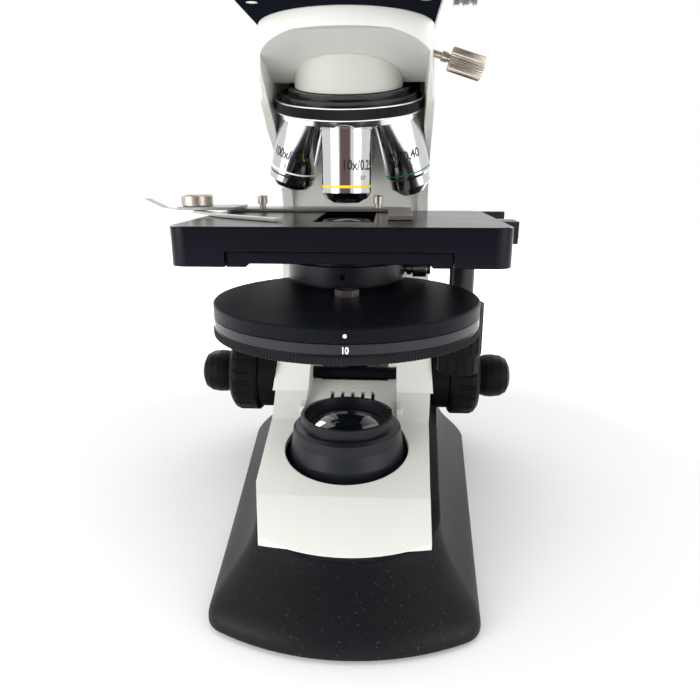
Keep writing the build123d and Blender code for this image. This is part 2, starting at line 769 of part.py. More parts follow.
with BuildPart() as phase_disc:
    turn(disc_centre, up,
         [(3.2, phase_low_z), (disc_radius - 0.6, phase_low_z), (disc_radius, phase_low_z + 0.5),
          (disc_radius, phase_low_z + 3.4), (disc_radius - 0.7, phase_low_z + 3.8),
          (disc_radius, phase_low_z + 4.2), (disc_radius, phase_top_z), (3.2, phase_top_z)])
    for port in phase_ports:
        sleeve((port.X, port.Y, 0), up, 0, phase_port_radius, 110, 140, Mode.SUBTRACT)

with BuildPart() as phase_annuli:
    for port in phase_ports[1:]:
        sleeve((port.X, port.Y, 0), up, 7, phase_port_radius, phase_low_z + 2, phase_low_z + 4)

with BuildPart() as turret_pivot:
    sleeve(disc_centre, up, 0, 3.1, phase_low_z - slide_play, casing_top_z)
    sleeve(disc_centre, up, 0, 6.5, phase_low_z - slide_play - 1.5, phase_low_z - slide_play)
    with BuildSketch(Plane.XY.offset(casing_top_z)):
        with Locations((disc_x, disc_y)):
            RegularPolygon(5.6, 6)
    extrude(amount=3.0)

# Head

plate_z = arm_top_z + slide_play
housing_z = plate_z + head_plate_thickness
plate_screws = [(-35, -45), (35, -45), (-35, 28), (35, 28)]

with BuildPart() as head_plate:
    with BuildSketch(Plane.XY.offset(plate_z)):
        with Locations((0, -10.5)):
            RectangleRounded(82, 103, 14)
    extrude(amount=head_plate_thickness)
    sleeve((0, 0, 0), up, 0, dovetail_radius, arm_top_z - dovetail_depth, plate_z)
    sleeve((0, 0, 0), up, 0, 10, 240, 270, Mode.SUBTRACT)
    for x, y in plate_screws:
        turn((x, y, plate_z), up, [(0, 0), (2.6, 0), (2.6, 1.8), (1.5, 1.8), (1.5, head_plate_thickness),
                                   (0, head_plate_thickness)], Mode.SUBTRACT)

with BuildPart() as head_screws:
    for x, y in plate_screws:
        turn((x, y, plate_z), up, [(0, 0.2), (2.5, 0.2), (2.5, 1.8), (1.5, 1.8), (1.5, head_plate_thickness),
                                   (0, head_plate_thickness)])

face_foot_y, face_foot_z = -64.0, 264.5
face_out = Vector(0, -1, 0).rotate(Axis.X, -face_tilt)
face_up = Vector(0, 0, 1).rotate(Axis.X, -face_tilt)
face_centre = Vector(0, face_foot_y, face_foot_z) + face_up * 27
hub_drop = -10.0
tube_lift = hub_drop + (hinge_arm ** 2 - (eye_spacing / 2) ** 2) ** 0.5


def face_point(x, lift):
    """Point on the head's sloping face."""
    return tuple(face_centre + Vector(x, 0, 0) + face_up * lift)


def face_plane(height):
    """Plane parallel to the head's sloping face."""
    return Plane(origin=tuple(face_centre + face_out * height), x_dir=(1, 0, 0), z_dir=tuple(face_out))


with BuildPart() as head_housing:
    face_top = Vector(0, face_foot_y, face_foot_z) + face_up * ((head_top_z - face_foot_z) / face_up.Z)
    side_prism(
        [(-60.5, housing_z), (face_foot_y, face_foot_z), (face_top.Y, head_top_z), (31, head_top_z),
         (43, 302),
         (43, 270), (40, housing_z)],
        head_half,
    )
    fillet(head_housing.edges().filter_by(Axis.X).group_by(Axis.Z)[-1], 9)
    sleeve(face_point(0, hub_drop), tuple(face_out), 0, 5, -1, 12)
    sleeve((0, 0, 0), up, 0, light_radius, 250, 330, Mode.SUBTRACT)
    sleeve((0, 0, 271), right, 0, 2.7, 20, 50, Mode.SUBTRACT)

with BuildPart() as phototube:
    turn((0, 0, head_top_z), up,
         [(ocular_radius, 0), (port_radius + 2, 0), (port_radius + 2, 5), (port_radius, 6),
          (port_radius, port_height), (ocular_radius, port_height)])

with BuildPart() as splitter_rod:
    turn((0, 0, 271), right,
         [(0, 22), (2.6, 22), (2.6, 49.5), (5.5, 49.5), (5.5, 52), (4.8, 52.6), (4.8, 53.6),
          (5.5, 54.2), (5.5, 56.4), (4.8, 57), (4.8, 58), (5.5, 58.6), (5.5, 60), (0, 60)])


def prism_arm(side, hub_start):
    """One half of the folding eyepiece pair: hub, bar, prism box and tube."""
    hub_end = hub_start + 5.7
    tube_x = side * eye_spacing / 2
    with BuildPart() as body:
        with BuildSketch(face_plane(hub_start)):
            with BuildLine():
                Polyline((0, hub_drop), (tube_x, tube_lift))
            trace(line_width=22)
            with Locations((0, hub_drop)):
                Circle(14)
        extrude(amount=hub_end - hub_start)
        centre = face_point(tube_x, tube_lift)
        direction = tuple(face_out)
        sleeve(centre, direction, 0, wing_radius, slide_play, wing_depth)
        sleeve(centre, direction, 0, tube_radius, wing_depth, wing_depth + tube_length)
        sleeve(centre, direction, 0, ocular_radius + shaft_play, wing_depth + 4, wing_depth + tube_length,
               Mode.SUBTRACT)
        sleeve(face_point(0, hub_drop), direction, 0, 5 + shaft_play, -2, 30, Mode.SUBTRACT)
    return body.part


with BuildPart() as left_prism_arm:
    add(prism_arm(-1, slide_play))

with BuildPart() as right_prism_arm:
    add(prism_arm(1, 2 * slide_play + 5.7))


def eyepiece(side):
    """Eyepiece turned about its tube's axis, with a barrel that slides into the tube."""
    start = wing_depth + tube_length
    turn(
        face_point(side * eye_spacing / 2, tube_lift),
        tuple(face_out),
        [
            (8.5, start - 20), (ocular_radius, start - 20), (ocular_radius, start), (16.0, start),
            (16.8, start + 2), (16.8, start + 13), (15.2, start + 15), (17.5, start + 21), (17.5, start + 25),
            (14.5, start + 25), (12.5, start + 19), (0, start + 18), (0, start + 14), (8.5, start + 14),
        ],
    )


with BuildPart() as left_eyepiece:
    eyepiece(-1)

with BuildPart() as right_eyepiece:
    eyepiece(1)

with BuildPart() as dioptre_ring:
    sleeve(face_point(-eye_spacing / 2, tube_lift), tuple(face_out), tube_radius + shaft_play,
           tube_radius + 2.6,
           wing_depth + 12, wing_depth + 21)

with BuildPart() as head_clamp_screw:
    collar = arm_top_half + 6
    turn(
        (0, 0, clamp_axis_z),
        clamp_direction,
        [(0, dovetail_radius + 1.7), (1.6, dovetail_radius + 1.7), (1.6, collar), (2.4, collar),
         (2.4, collar + 3), (1.9, collar + 3), (1.9, collar + 4.2), (5.0, collar + 4.2), (5.4, collar + 4.8),
         (5.4, collar + 20), (4.8, collar + 20.8), (0, collar + 20.8)],
    )

# Electrical parts

with BuildPart() as lamp_mirror:
    side_prism([(-14, mirror_z), (14.5, mirror_z), (-14, mirror_z + 28.5)], 13)

with BuildPart() as lamp_holder:
    block((-12, 46, mirror_z), (12, 58, 27))

with BuildPart() as lamp:
    turn((0, 46, 19), (0, -1, 0), [(0, 0), (5, 0), (5, 4), (6, 6), (6, 18), (4, 21), (0, 22)])

with BuildPart() as circuit_board:
    board_half = arm_foot_half - 11
    block((-board_half, board_front_y, board_z), (board_half, board_back_y, board_z + board_thickness))

port_low_z = port_z - port_half
port_high_z = port_z + port_half

with BuildPart() as power_inlet:
    half = inlet_width / 2
    block((inlet_x - half, skirt_back_y - 15, port_low_z), (inlet_x + half, skirt_back_y, port_high_z))
    block((inlet_x - half - 2, skirt_back_y, port_low_z - 2),
          (inlet_x + half + 2, skirt_back_y + 2, port_high_z + 2))
    block((inlet_x - half + 3.5, skirt_back_y - 8, port_low_z + 3),
          (inlet_x + half - 3.5, skirt_back_y + 3, port_high_z - 3), Mode.SUBTRACT)
    for x in (-7, 0, 7):
        block((inlet_x + x - 1, skirt_back_y - 9, port_z - 2),
              (inlet_x + x + 1, skirt_back_y - 1, port_z + 2))

with BuildPart() as switch_bezel:
    half = switch_width / 2
    block((switch_x - half, skirt_back_y - 12, port_low_z), (switch_x + half, skirt_back_y, port_high_z))
    block((switch_x - half - 1.5, skirt_back_y, port_low_z - 1.5),
          (switch_x + half + 1.5, skirt_back_y + 1, port_high_z + 1.5))
    block((switch_x - half + 2.2, skirt_back_y - 4, port_low_z + 1.7),
          (switch_x + half - 2.2, skirt_back_y + 2, port_high_z - 1.7), Mode.SUBTRACT)

with BuildPart() as power_switch:
    half = port_half - 2.3
    side_prism(
        [
            (skirt_back_y - 1.5, port_z - half), (skirt_back_y + 1.4, port_z - half),
            (skirt_back_y + 0.4, port_z), (skirt_back_y + 2.4, port_z + half),
            (skirt_back_y - 1.5, port_z + half), (skirt_back_y - 3.5, port_z),
        ],
        switch_width / 2 - 2.5,
    )
    pin_half = switch_width / 2 - 2.3
    sleeve((switch_x, skirt_back_y - 1, port_z), right, 0, 1, -pin_half, pin_half)

with BuildPart() as dimmer_dial:
    turn(
        (dimmer_x, skirt_back_y, port_z),
        back,
        [(0, -10), (dimmer_shaft_radius, -10), (dimmer_shaft_radius, slide_play), (9, slide_play), (9, 8),
         (8, 9), (0, 9)],
    )

pieces = {
    "base_cover": base_cover,
    "base_skirt": base_skirt,
    "bottom_plate": bottom_plate,
    "rubber_feet": rubber_feet,
    "collector_housing": collector_housing,
    "field_lens": field_lens,
    "arm": arm,
    "throat_lining": throat_lining,
    "focus_guide": focus_guide,
    "focus_carriage": focus_carriage,
    "coarse_knobs": coarse_knobs,
    "fine_knobs": fine_knobs,
    "focus_hub": focus_hub,
    "tension_ring": tension_ring,
    "stage_bracket": stage_bracket,
    "stage_base": stage_base,
    "stage_top": stage_top,
    "x_rail": x_rail,
    "stage_side_block": stage_side_block,
    "drive_tube": drive_tube,
    "y_drive_knob": y_drive_knob,
    "x_drive_knob": x_drive_knob,
    "slide_holder": slide_holder,
    "holder_screws": holder_screws,
    "slide_finger": slide_finger,
    "finger_nut": finger_nut,
    "nosepiece_dome": nosepiece_dome,
    "nosepiece_turret": nosepiece_turret,
    "objective_10x": objective_10x,
    "objective_20x": objective_20x,
    "objective_40x": objective_40x,
    "objective_100x": objective_100x,
    "condenser_carrier": condenser_carrier,
    "condenser_barrel": condenser_barrel,
    "condenser_lens": condenser_lens,
    "condenser_clamp_screw": condenser_clamp_screw,
    "condenser_knob": condenser_knob,
    "turret_casing": turret_casing,
    "phase_disc": phase_disc,
    "phase_annuli": phase_annuli,
    "turret_pivot": turret_pivot,
    "head_plate": head_plate,
    "head_screws": head_screws,
    "head_housing": head_housing,
    "phototube": phototube,
    "splitter_rod": splitter_rod,
    "left_prism_arm": left_prism_arm,
    "right_prism_arm": right_prism_arm,
    "left_eyepiece": left_eyepiece,
    "right_eyepiece": right_eyepiece,
    "dioptre_ring": dioptre_ring,
    "head_clamp_screw": head_clamp_screw,
    "lamp_mirror": lamp_mirror,
    "lamp_holder": lamp_holder,
    "lamp": lamp,
    "circuit_board": circuit_board,
    "power_inlet": power_inlet,
    "switch_bezel": switch_bezel,
    "power_switch": power_switch,
    "dimmer_dial": dimmer_dial,
}
os.makedirs("parts", exist_ok=True)
for name, piece in pieces.items():
    piece.part.label = name
    export_step(piece.part, f"parts/{name}.step")
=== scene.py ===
import math

import bmesh
import bpy
import numpy as np
from mathutils import Matrix, Vector


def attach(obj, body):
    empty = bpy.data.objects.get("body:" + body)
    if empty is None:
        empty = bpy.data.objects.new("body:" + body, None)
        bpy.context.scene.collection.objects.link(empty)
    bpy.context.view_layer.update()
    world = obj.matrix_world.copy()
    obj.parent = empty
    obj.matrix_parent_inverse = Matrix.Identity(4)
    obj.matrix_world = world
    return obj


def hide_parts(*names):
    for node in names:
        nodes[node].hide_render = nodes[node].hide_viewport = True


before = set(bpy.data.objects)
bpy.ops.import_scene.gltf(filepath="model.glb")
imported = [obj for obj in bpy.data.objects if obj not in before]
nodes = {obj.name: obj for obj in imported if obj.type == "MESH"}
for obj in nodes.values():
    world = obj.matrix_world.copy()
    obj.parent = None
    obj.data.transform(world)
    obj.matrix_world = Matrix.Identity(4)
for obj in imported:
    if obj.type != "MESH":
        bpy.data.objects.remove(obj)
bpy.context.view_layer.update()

scene = bpy.context.scene
scene.view_settings.view_transform = "Standard"
mm = 0.001
print("frame loaded:", len(nodes), "nodes")


# Colours and nodes

def linear(code):
    # sRGB hex to the linear values that a shader works in
    values = [int(code[i:i + 2], 16) / 255 for i in (1, 3, 5)]
    return [v / 12.92 if v <= 0.04045 else ((v + 0.055) / 1.055) ** 2.4 for v in values] + [1.0]


def addNode(tree, kind, inputs=None, **settings):
    # one node with its settings; an input is a value or another node's output
    node = tree.nodes.new(kind)
    for name, value in settings.items():
        setattr(node, name, value)
    for socket, value in (inputs or {}).items():
        if isinstance(value, bpy.types.NodeSocket):
            tree.links.new(value, node.inputs[socket])
        else:
            node.inputs[socket].default_value = value
    return node


def newMaterial(name):
    material = bpy.data.materials.new(name)
    material.use_nodes = True
    material.node_tree.nodes.clear()
    return material, material.node_tree


dustFrom, dustTo = 0.79, 0.82        # noise values between which a speck of dust comes up
grainStep = 0.1                      # height in mm that the grain's bump stands for


def grainSurface(name, spec):
    # solid colour broken up by a slow tone change and a fine grain; edges are eased for the eye only
    material, tree = newMaterial(name)
    place = addNode(tree, "ShaderNodeTexCoord").outputs["Object"]
    tone = addNode(tree, "ShaderNodeTexNoise", {
        "Vector": place, "Scale": 1 / (spec["toneSize"] * mm), "Detail": 3.0,
    })
    mix = addNode(tree, "ShaderNodeMix", {
        "Factor": tone.outputs["Fac"], "A": linear(spec["colour"]), "B": linear(spec["second"]),
    }, data_type="RGBA")
    colour = mix.outputs["Result"]
    if "specks" in spec:
        # dust: only the highest peaks of a fine noise show, as pale dots
        dust = addNode(tree, "ShaderNodeTexNoise", {
            "Vector": place, "Scale": 1 / (spec["speckGap"] * mm), "Detail": 0.0, "Roughness": 0.0,
        })
        dots = addNode(tree, "ShaderNodeMapRange", {
            "Value": dust.outputs["Fac"], "From Min": dustFrom, "From Max": dustTo,
        })
        colour = addNode(tree, "ShaderNodeMix", {
            "Factor": dots.outputs["Result"], "A": colour, "B": linear(spec["specks"]),
        }, data_type="RGBA").outputs["Result"]
    grain = addNode(tree, "ShaderNodeTexNoise", {
        "Vector": place, "Scale": 1 / (spec["grainSize"] * mm), "Detail": 2.0, "Roughness": 0.6,
    })
    rough = addNode(tree, "ShaderNodeMapRange", {
        "Value": tone.outputs["Fac"], "To Min": spec["rough"] - spec.get("roughSpread", 0.04),
        "To Max": spec["rough"] + spec.get("roughSpread", 0.04),
    })
    edge = addNode(tree, "ShaderNodeBevel", {"Radius": spec.get("edge", 0.4) * mm}, samples=4)
    bump = addNode(tree, "ShaderNodeBump", {
        "Strength": spec["grainDepth"], "Distance": grainStep * mm, "Height": grain.outputs["Fac"],
        "Normal": edge.outputs["Normal"],
    })
    shader = addNode(tree, "ShaderNodeBsdfPrincipled", {
        "Base Color": colour, "Roughness": rough.outputs["Result"], "Normal": bump.outputs["Normal"],
        "Metallic": spec.get("metal", 0.0), "IOR": spec.get("ior", 1.5), "Coat Weight": spec.get("coat", 0.0),
        "Coat Roughness": spec.get("coatRough", 0.1), "Specular IOR Level": spec.get("specular", 0.5),
    })
    addNode(tree, "ShaderNodeOutputMaterial", {"Surface": shader.outputs["BSDF"]})
    return material


finishes = {
    # two-pack spray paint on an aluminium casting: warm white, semi-matt, faint orange peel
    "sprayedWhitePaint": dict(colour="#DEDED8", second="#D8D8D2", toneSize=60, grainSize=0.5, grainDepth=0.12,
                              rough=0.42, ior=1.5, coat=0.1, coatRough=0.35, edge=0.8),
    # shell over the turret's bearing: the casting's white made greyer as painted shade, to hold down the
    # lamps' light on its front
    "domeWhitePaintedShade": dict(colour="#B4B4AD", second="#AFAFA8", toneSize=40, grainSize=0.4, grainDepth=0.1,
                             rough=0.45, ior=1.5, edge=0.6),
    # moulded ABS with a spark-eroded grain: dark blue-grey, satin, a little dust on it
    "mouldedSkirtAbs": dict(colour="#0B0B10", second="#0E0E13", toneSize=45, grainSize=0.45, grainDepth=0.3,
                            rough=0.46, ior=1.5, specular=0.22, edge=1.4, specks="#3E3F44", speckGap=0.8),
    # black anodised aluminium, blasted before anodising: deep, satin, mirrors at a low angle
    "blackAnodised": dict(colour="#0F1218", second="#13161D", toneSize=30, grainSize=0.3, grainDepth=0.1,
                          rough=0.34, ior=1.5, specular=0.3, edge=0.5),
    # the phase disc's casing: anodised over a coarser blast, dusty
    "blastedCasing": dict(colour="#05080F", second="#080B12", toneSize=30, grainSize=0.35, grainDepth=0.3,
                          rough=0.4, ior=1.5, specular=0.08, edge=0.6, specks="#34373D", speckGap=0.7),
    # knurled black anodised edges: the cut ribs are duller than the turned faces
    "knurledBlack": dict(colour="#07080D", second="#0A0B10", toneSize=10, grainSize=0.25, grainDepth=0.08,
                         rough=0.36, ior=1.5, specular=0.14, edge=0.1),
    # moulded black foot plate under the head
    "footPlateBlack": dict(colour="#171A22", second="#1B1E27", toneSize=25, grainSize=0.35, grainDepth=0.15,
                           rough=0.55, ior=1.5, specular=0.0, edge=0.7),
    # sprayed black stage enamel: fine even grain, glossier where the light grazes it
    "stageEnamel": dict(colour="#070911", second="#0A0C14", toneSize=30, grainSize=0.35, grainDepth=0.1,
                        rough=0.22, roughSpread=0.03, ior=1.5, specular=0.12, edge=0.9),
    # moulded knob plastic, dark charcoal, dull
    "mouldedKnobPlastic": dict(colour="#0A0A0D", second="#0D0D10", toneSize=12, grainSize=0.35,
                               grainDepth=0.3, rough=0.42, ior=1.5, specular=0.09, edge=0.6),
    # plain black rubber
    "mouldedRubber": dict(colour="#121214", second="#161618", toneSize=8, grainSize=0.5, grainDepth=0.4,
                          rough=0.8, ior=1.52, specular=0.3, edge=0.5),
    # dull black lacquer inside the arm and on hidden sheet metal
    "dullBlackLacquer": dict(colour="#0A0B0E", second="#0D0E11", toneSize=25, grainSize=0.4, grainDepth=0.2,
                             rough=0.62, ior=1.5, specular=0.2, edge=0.4),
    # polished black lacquer on the turret's upper rings
    "ringLacquer": dict(colour="#07080C", second="#0A0B0F", toneSize=12, grainSize=0.3, grainDepth=0.04,
                        rough=0.16, ior=1.5, specular=0.35, edge=0.6),
    # chrome plate over turned brass: near mirror, a little satin
    "chromePlate": dict(colour="#D0D2D3", second="#C8CACC", toneSize=10, grainSize=0.25, grainDepth=0.02,
                        rough=0.12, roughSpread=0.03, metal=1.0, edge=0.3),
    # turned stainless steel, unplated
    "turnedSteel": dict(colour="#C4C3BF", second="#B6B5B1", toneSize=5, grainSize=0.15, grainDepth=0.08,
                        rough=0.3, metal=1.0, edge=0.3),
    # sheet steel of the slide holder, satin
    "satinSheetSteel": dict(colour="#B4B3AF", second="#A5A4A1", toneSize=6, grainSize=0.2, grainDepth=0.12,
                            rough=0.42, metal=1.0, edge=0.35),
    # nickel plate, a warm grey silver
    "warmNickel": dict(colour="#C6BDB3", second="#B5ACA2", toneSize=4, grainSize=0.2, grainDepth=0.08,
                       rough=0.32, metal=1.0, edge=0.3),
    # painted steel sheet under the base
    "paintedSheet": dict(colour="#1F2022", second="#242527", toneSize=20, grainSize=0.6, grainDepth=0.3,
                         rough=0.55, edge=0.4),
    # green solder mask on a glass-fibre board
    "solderMask": dict(colour="#14532F", second="#175C35", toneSize=6, grainSize=0.4, grainDepth=0.1,
                       rough=0.35, edge=0.2),
}
materials = {name: grainSurface(name, spec) for name, spec in finishes.items()}


def polishedGlass(name, colour):
    # ground and polished optical glass, faintly coated
    material, tree = newMaterial(name)
    shader = addNode(tree, "ShaderNodeBsdfPrincipled", {
        "Base Color": linear(colour), "Roughness": 0.02, "IOR": 1.52, "Transmission Weight": 1.0,
        "Coat Weight": 0.3, "Coat Roughness": 0.02,
    })
    addNode(tree, "ShaderNodeOutputMaterial", {"Surface": shader.outputs["BSDF"]})
    return material


def darkLens(name):
    # a thick lens over an unlit black tube: almost no light comes back but the surface's own gloss
    material, tree = newMaterial(name)
    place = addNode(tree, "ShaderNodeTexCoord").outputs["Object"]
    tone = addNode(tree, "ShaderNodeTexNoise", {"Vector": place, "Scale": 1 / (25 * mm), "Detail": 1.0})
    depth = addNode(tree, "ShaderNodeMix", {
        "Factor": tone.outputs["Fac"], "A": linear("#05070B"), "B": linear("#10141B"),
    }, data_type="RGBA")
    shader = addNode(tree, "ShaderNodeBsdfPrincipled", {
        "Base Color": depth.outputs["Result"], "Roughness": 0.03, "IOR": 1.52, "Coat Weight": 1.0,
        "Coat Roughness": 0.02,
    })
    addNode(tree, "ShaderNodeOutputMaterial", {"Surface": shader.outputs["BSDF"]})
    return material


materials["polishedGlass"] = polishedGlass("polishedGlass", "#E8F2F4")
materials["darkLens"] = darkLens("darkLens")
print("materials made:", len(materials))

nodeFinish = {
    "sprayedWhitePaint": ["base_cover", "arm", "head_housing", "left_prism_arm", "right_prism_arm"],
    # the dome takes the greyer white: painted shade, not a paint of its own
    "domeWhitePaintedShade": ["nosepiece_dome"],
    "mouldedSkirtAbs": ["base_skirt"],
    "stageEnamel": ["stage_top", "stage_base"],
    "blackAnodised": ["collector_housing", "focus_carriage", "stage_bracket", "x_rail", "stage_side_block",
                      "drive_tube", "condenser_carrier", "condenser_barrel", "phase_disc", "phototube",
                      "left_eyepiece", "right_eyepiece", "dioptre_ring"],
    "footPlateBlack": ["head_plate"],
    "blastedCasing": ["turret_casing"],
    "mouldedKnobPlastic": ["coarse_knobs", "fine_knobs", "focus_hub", "tension_ring", "y_drive_knob",
                           "x_drive_knob", "condenser_knob", "power_inlet", "switch_bezel", "power_switch",
                           "dimmer_dial"],
    "mouldedRubber": ["rubber_feet"],
    "dullBlackLacquer": ["throat_lining", "lamp_holder"],
    "chromePlate": ["nosepiece_turret", "objective_10x", "objective_20x", "objective_40x", "objective_100x",
                    "lamp_mirror"],
    "turnedSteel": ["focus_guide", "slide_finger", "condenser_clamp_screw", "phase_annuli", "turret_pivot",
                    "head_screws", "splitter_rod"],
    "satinSheetSteel": ["slide_holder"],
    "warmNickel": ["head_clamp_screw", "finger_nut", "holder_screws"],
    "paintedSheet": ["bottom_plate"],
    "solderMask": ["circuit_board"],
    "polishedGlass": ["lamp"],
    "darkLens": ["field_lens", "condenser_lens"],
}
for finish, names in nodeFinish.items():
    for name in names:
        mesh = nodes[name].data
        mesh.materials.clear()
        mesh.materials.append(materials[finish])


def zoneFaces(name, origin, direction, zones):
    # faces take a finish by how far along an axis their middle lies: (up to this distance in mm, finish)
    mesh = nodes[name].data
    middles = np.zeros(len(mesh.polygons) * 3)
    mesh.polygons.foreach_get("center", middles)
    axis = np.asarray(direction, float) / np.linalg.norm(direction)
    along = (middles.reshape(-1, 3) / mm - np.asarray(origin, float)) @ axis
    index = np.digitize(along, [limit for limit, _ in zones[:-1]])
    mesh.materials.clear()
    for _, finish in zones:
        mesh.materials.append(materials[finish])
    mesh.polygons.foreach_set("material_index", index.astype(np.int32))
    mesh.update()


print("finishes given to", sum(len(names) for names in nodeFinish.values()), "nodes")


# Shapes

sharpAngle = 35        # degrees between two faces from which their edge stays sharp


def gridPiece(name, grid, body, finish, closeRows=False, closeColumns=False):
    # rows x columns x 3 points in metres become quads; a closed way joins its last line to its first
    grid = np.asarray(grid, float)
    rows, columns = grid.shape[:2]
    index = np.arange(rows * columns).reshape(rows, columns)
    if closeRows:
        index = np.vstack([index, index[:1]])
    if closeColumns:
        index = np.hstack([index, index[:, :1]])
    quads = np.stack([index[:-1, :-1], index[:-1, 1:], index[1:, 1:], index[1:, :-1]], -1).reshape(-1, 4)
    mesh = bpy.data.meshes.new(name)
    mesh.from_pydata(grid.reshape(-1, 3).tolist(), [], quads.tolist())
    return finishPiece(name, mesh, body, finish)


def finishPiece(name, mesh, body, finish):
    # weld poles, turn the faces outwards, smooth all but the sharp edges, and hang the piece on its body
    work = bmesh.new()
    work.from_mesh(mesh)
    bmesh.ops.remove_doubles(work, verts=work.verts, dist=1e-7)
    bmesh.ops.recalc_face_normals(work, faces=work.faces)
    work.to_mesh(mesh)
    work.free()
    mesh.polygons.foreach_set("use_smooth", np.ones(len(mesh.polygons), bool))
    mesh.set_sharp_from_angle(angle=math.radians(sharpAngle))
    mesh.materials.clear()
    mesh.materials.append(materials[finish])
    piece = bpy.data.objects.new(name, mesh)
    scene.collection.objects.link(piece)
    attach(piece, body)
    return piece


def unit(vector):
    vector = np.asarray(vector, float)
    return vector / np.linalg.norm(vector)


def crossAxes(direction):
    # two unit vectors square to a direction and to each other
    direction = unit(direction)
    helper = np.array([1.0, 0, 0]) if abs(direction[0]) < 0.9 else np.array([0, 1.0, 0])
    first = unit(np.cross(direction, helper))
    return first, np.cross(direction, first)


def turnedGrid(origin, direction, outline, segments, ribs=0, ribDepth=0.0, ribbed=None):
    # outline (radius, distance) in mm turned about the axis; ribbed rows get radius minus ribDepth
    # times a triangle wave of the angle
    outline = np.asarray(outline, float)
    angle = np.linspace(0, 2 * np.pi, segments, endpoint=False)
    first, second = crossAxes(direction)
    wave = np.abs((angle * ribs / (2 * np.pi)) % 1 * 2 - 1) if ribs else np.zeros(segments)
    mask = np.zeros(len(outline)) if ribbed is None else np.asarray(ribbed, float)
    radius = outline[:, :1] - ribDepth * mask[:, None] * wave[None, :]
    around = np.cos(angle)[:, None] * first + np.sin(angle)[:, None] * second
    points = (np.asarray(origin, float) + outline[:, 1][:, None, None] * unit(direction)
              + radius[:, :, None] * around[None])
    return points * mm


lettering = {
    "depth": 0.04,       # mm that the paint stands proud
    "narrow": 0.78,      # width against the built-in letters
    "bold": 0.02,        # stroke gained, against the size
    "lift": 0.02,        # mm between the surface and the letters' middle
}


def wrapText(name, text, size, axisPoint, up, outward, radius, body, finish, align="CENTER"):
    # letters bent round a cylinder: x becomes an angle, y a height along the axis, z a radius
    curve = bpy.data.curves.new(name, "FONT")
    curve.body = text
    curve.size = size
    curve.align_x = align
    curve.offset = lettering["bold"] * size
    curve.extrude = lettering["depth"]
    holder = bpy.data.objects.new(name, curve)
    scene.collection.objects.link(holder)
    bpy.context.view_layer.update()
    mesh = bpy.data.meshes.new_from_object(holder)
    bpy.data.objects.remove(holder)
    flat = np.zeros(len(mesh.vertices) * 3)
    mesh.vertices.foreach_get("co", flat)
    flat = flat.reshape(-1, 3) * (lettering["narrow"], 1, 1)
    up, outward = unit(up), unit(outward)
    side = np.cross(up, outward)
    radius += lettering["lift"]
    angle = flat[:, :1] / radius
    points = (np.asarray(axisPoint, float) + flat[:, 1:2] * up
              + (radius + flat[:, 2:]) * (np.cos(angle) * outward + np.sin(angle) * side))
    mesh.vertices.foreach_set("co", (points * mm).ravel())
    return finishPiece(name, mesh, body, finish)


# Nosepiece: knurled grip between two bright rims, bands and figures on the objectives

nose = {
    "apex": (0, 0, 304.8),
    "tilt": 15.0,
    "gripRadius": 38.0,
    "gripStart": 77.5,
    "gripEnd": 83.1,
    "gripDepth": 1.2,
    "gripEase": 0.25,
    "ribs": 150,
    "ribDepth": 0.45,
    "rim": 0.5,
    "rimOver": 0.2,          # the rims start a little before the grip ends and stand a little proud of it
    "rimProud": 0.1,
    "rimEase": 0.12,
    "rimSegments": 160,
    "zones": [(83.2, "ringLacquer"), (120, "chromePlate")],
}
noseTilt = math.radians(nose["tilt"])
noseAxis = np.array([0, math.sin(noseTilt), -math.cos(noseTilt)])
noseFront = np.array([0, -math.cos(noseTilt), -math.sin(noseTilt)])


def objectiveAxis(turn):
    # turn 0 is the working place; the objectives lean 15 degrees from the turret's axis
    around = math.cos(turn) * noseFront + math.sin(turn) * np.array([1.0, 0, 0])
    return math.cos(noseTilt) * noseAxis + math.sin(noseTilt) * around


ribPoints = 4                      # points round the ring to one rib
ringRibbed = (0, 1, 1, 1, 1, 0)    # rows of a ring's outline that carry its ribs


def ringOutline(inner, outer, start, end, ease):
    return [(inner, start), (outer - ease, start), (outer, start + ease), (outer, end - ease),
            (outer - ease, end), (inner, end)]


def makeNosepiece():
    zoneFaces("nosepiece_turret", nose["apex"], noseAxis, nose["zones"])
    r, start, end, rim = nose["gripRadius"], nose["gripStart"], nose["gripEnd"], nose["rim"]
    inner = r - nose["gripDepth"]
    grid = turnedGrid(nose["apex"], noseAxis, ringOutline(inner, r, start + rim, end - rim, nose["gripEase"]),
                      nose["ribs"] * ribPoints, nose["ribs"], nose["ribDepth"], ringRibbed)
    gridPiece("nosepieceGrip", grid, "nosepiece", "knurledBlack", closeRows=True, closeColumns=True)
    for name, low in (("upperGripRim", start - nose["rimOver"]), ("lowerGripRim", end - rim)):
        outline = ringOutline(inner, r + nose["rimProud"], low, low + rim + nose["rimOver"], nose["rimEase"])
        grid = turnedGrid(nose["apex"], noseAxis, outline, nose["rimSegments"])
        gridPiece(name, grid, "nosepiece", "chromePlate", closeRows=True, closeColumns=True)


bandPaints = {
    # enamel filled into a turned groove
    "yellowBandEnamel": "#F2C500",
    "greenBandEnamel": "#0E6B3C",
    "blueBandEnamel": "#2E7FC1",
    "whiteBandEnamel": "#E9E9E6",
    "blackBandEnamel": "#101113",
    "figureInk": "#0E0F11",
    "whiteFigurePaint": "#EDEDED",
}
for paint, colour in bandPaints.items():
    materials[paint] = grainSurface(paint, dict(colour=colour, second=colour, toneSize=5, grainSize=0.2,
                                                grainDepth=0.03, rough=0.35, edge=0.1))

